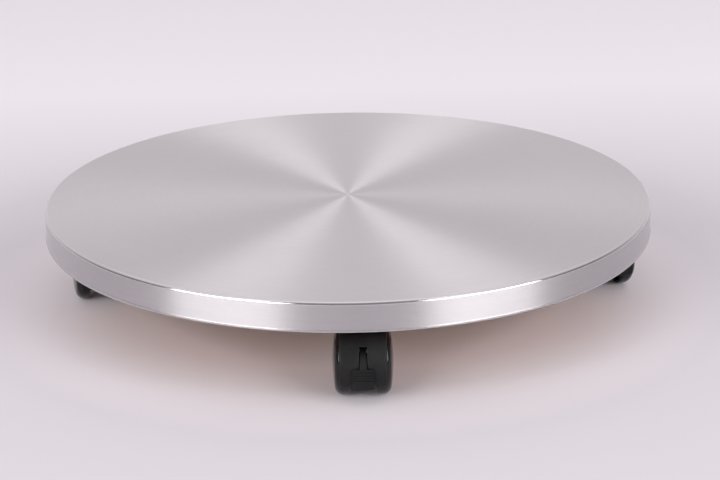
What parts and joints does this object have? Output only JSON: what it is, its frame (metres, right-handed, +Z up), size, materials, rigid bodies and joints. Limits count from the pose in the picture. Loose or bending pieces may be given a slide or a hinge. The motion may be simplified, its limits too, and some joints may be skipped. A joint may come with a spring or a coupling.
{
  "type": "round rolling platform",
  "caption": "Round steel-skinned platform on hooded twin-wheel swivel casters, with foot brakes; carries a pot, bin or appliance across a floor.",
  "frame": {"origin": "on the floor, under the centre of the round deck", "axes": "+Z up, out of the deck; -Y towards the front caster, which has a brake; +X towards the right caster"},
  "size_m": [0.4007, 0.4057, 0.064],
  "materials": {
    "brushed_stainless": "brushed in circles",
    "board": "raw board, sawn edge",
    "zinc_steel": "zinc plated",
    "spring_steel": "oiled black",
    "nylon": "natural nylon",
    "black_nylon": "fine moulded grain",
    "black_wheel": "satin moulded"
  },
  "bodies": {
    "platform": {"top_pan": "brushed_stainless", "core_board": "board", "front_mount_plate": "zinc_steel", "front_plate_screws": "zinc_steel", "front_kingpin": "zinc_steel", "front_retaining_ring": "spring_steel", "front_thrust_washer": "nylon", "right_mount_plate": "zinc_steel", "right_plate_screws": "zinc_steel", "right_kingpin": "zinc_steel", "right_retaining_ring": "spring_steel", "right_thrust_washer": "nylon", "rear_mount_plate": "zinc_steel", "rear_plate_screws": "zinc_steel", "rear_kingpin": "zinc_steel", "rear_retaining_ring": "spring_steel", "rear_thrust_washer": "nylon", "left_mount_plate": "zinc_steel", "left_plate_screws": "zinc_steel", "left_kingpin": "zinc_steel", "left_retaining_ring": "spring_steel", "left_thrust_washer": "nylon"},
    "front_caster": {"front_housing": "black_nylon", "front_axle": "zinc_steel", "front_brake_pin": "zinc_steel"},
    "front_wheel_left": {"front_wheel_left": "black_wheel"},
    "front_wheel_right": {"front_wheel_right": "black_wheel"},
    "front_brake_lever": {"front_brake_lever": "black_nylon"},
    "right_caster": {"right_housing": "black_nylon", "right_axle": "zinc_steel"},
    "right_wheel_left": {"right_wheel_left": "black_wheel"},
    "right_wheel_right": {"right_wheel_right": "black_wheel"},
    "rear_caster": {"rear_housing": "black_nylon", "rear_axle": "zinc_steel", "rear_brake_pin": "zinc_steel"},
    "rear_wheel_left": {"rear_wheel_left": "black_wheel"},
    "rear_wheel_right": {"rear_wheel_right": "black_wheel"},
    "rear_brake_lever": {"rear_brake_lever": "black_nylon"},
    "left_caster": {"left_housing": "black_nylon", "left_axle": "zinc_steel"},
    "left_wheel_left": {"left_wheel_left": "black_wheel"},
    "left_wheel_right": {"left_wheel_right": "black_wheel"}
  },
  "joints": [
    {"name": "front_swivel", "type": "hinge", "parent": "platform", "child": "front_caster", "pos_m": [0, -0.169, 0.044], "axis": [0, 0, 1], "continuous": true},
    {"name": "front_wheel_left_spin", "type": "hinge", "parent": "front_caster", "child": "front_wheel_left", "pos_m": [-0.01321, -0.18043, 0.02], "axis": [0.999, -0.0436, 0], "continuous": true},
    {"name": "front_wheel_right_spin", "type": "hinge", "parent": "front_caster", "child": "front_wheel_right", "pos_m": [0.01216, -0.18154, 0.02], "axis": [0.999, -0.0436, 0], "continuous": true},
    {"name": "front_brake", "type": "hinge", "parent": "front_caster", "child": "front_brake_lever", "pos_m": [-0.00095, -0.19087, 0.0306], "axis": [-0.999, 0.0436, 0], "range_deg": [0, 30]},
    {"name": "right_swivel", "type": "hinge", "parent": "platform", "child": "right_caster", "pos_m": [0.16899, 0.00147, 0.044], "axis": [0, 0, 1], "continuous": true},
    {"name": "right_wheel_left_spin", "type": "hinge", "parent": "right_caster", "child": "right_wheel_left", "pos_m": [0.15833, -0.01236, 0.02], "axis": [0.9877, 0.1564, 0], "continuous": true},
    {"name": "right_wheel_right_spin", "type": "hinge", "parent": "right_caster", "child": "right_wheel_right", "pos_m": [0.18341, -0.00839, 0.02], "axis": [0.9877, 0.1564, 0], "continuous": true},
    {"name": "rear_swivel", "type": "hinge", "parent": "platform", "child": "rear_caster", "pos_m": [0, 0.169, 0.044], "axis": [0, 0, 1], "continuous": true},
    {"name": "rear_wheel_left_spin", "type": "hinge", "parent": "rear_caster", "child": "rear_wheel_left", "pos_m": [-0.01114, 0.15554, 0.02], "axis": [0.9925, 0.1219, 0], "continuous": true},
    {"name": "rear_wheel_right_spin", "type": "hinge", "parent": "rear_caster", "child": "rear_wheel_right", "pos_m": [0.01407, 0.15864, 0.02], "axis": [0.9925, 0.1219, 0], "continuous": true},
    {"name": "rear_brake", "type": "hinge", "parent": "rear_caster", "child": "rear_brake_lever", "pos_m": [0.00267, 0.14727, 0.0306], "axis": [-0.9925, -0.1219, 0], "range_deg": [0, 30]},
    {"name": "left_swivel", "type": "hinge", "parent": "platform", "child": "left_caster", "pos_m": [-0.1689, 0.0059, 0.044], "axis": [0, 0, 1], "continuous": true},
    {"name": "left_wheel_left_spin", "type": "hinge", "parent": "left_caster", "child": "left_wheel_left", "pos_m": [-0.17956, -0.00794, 0.02], "axis": [0.9877, 0.1564, 0], "continuous": true},
    {"name": "left_wheel_right_spin", "type": "hinge", "parent": "left_caster", "child": "left_wheel_right", "pos_m": [-0.15448, -0.00397, 0.02], "axis": [0.9877, 0.1564, 0], "continuous": true}
  ]
}
